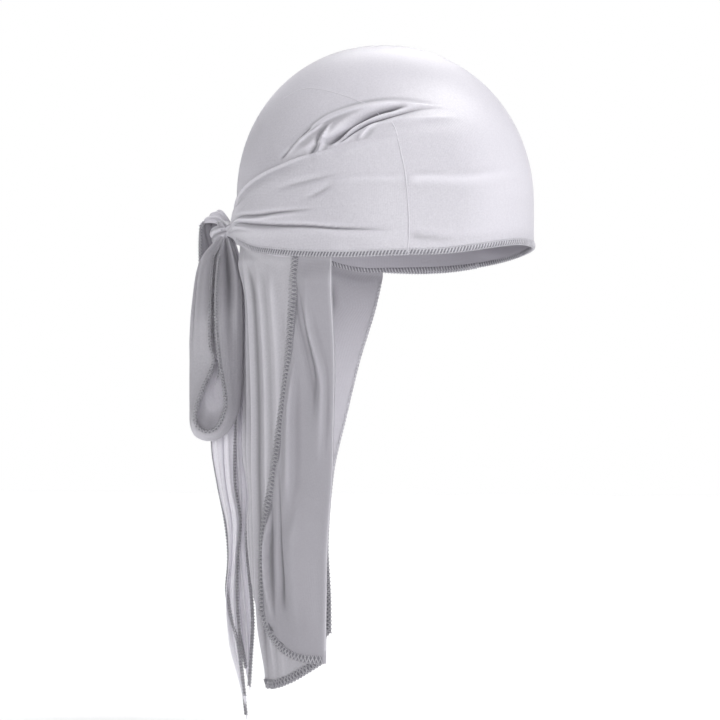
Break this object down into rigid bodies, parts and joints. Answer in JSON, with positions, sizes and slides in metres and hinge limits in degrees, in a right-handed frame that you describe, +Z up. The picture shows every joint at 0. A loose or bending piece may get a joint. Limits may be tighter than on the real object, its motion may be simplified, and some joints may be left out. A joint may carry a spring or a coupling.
{
  "type": "durag",
  "caption": "Thin satin crown cap with side straps knotted at the back in a bow, two hanging strap ends and a long nape flap with one edge turned back.",
  "frame": {"origin": "the inside of the crown's top, where the wearer's head bears, on the middle line from side to side", "axes": "+Z up, +X the wearer's front, -Y the wearer's right"},
  "size_m": [0.2396, 0.1659, 0.4439],
  "materials": {
    "satin": "thin silky knit satin, pale silver lavender, edges overlocked in thread of the same colour"
  },
  "bodies": {
    "root": {"crown": "satin", "knot": "satin", "right_strap": "satin", "left_strap": "satin", "right_loop": "satin", "left_loop": "satin", "right_end": "satin", "left_end": "satin", "nape_flap": "satin"}
  },
  "joints": []
}
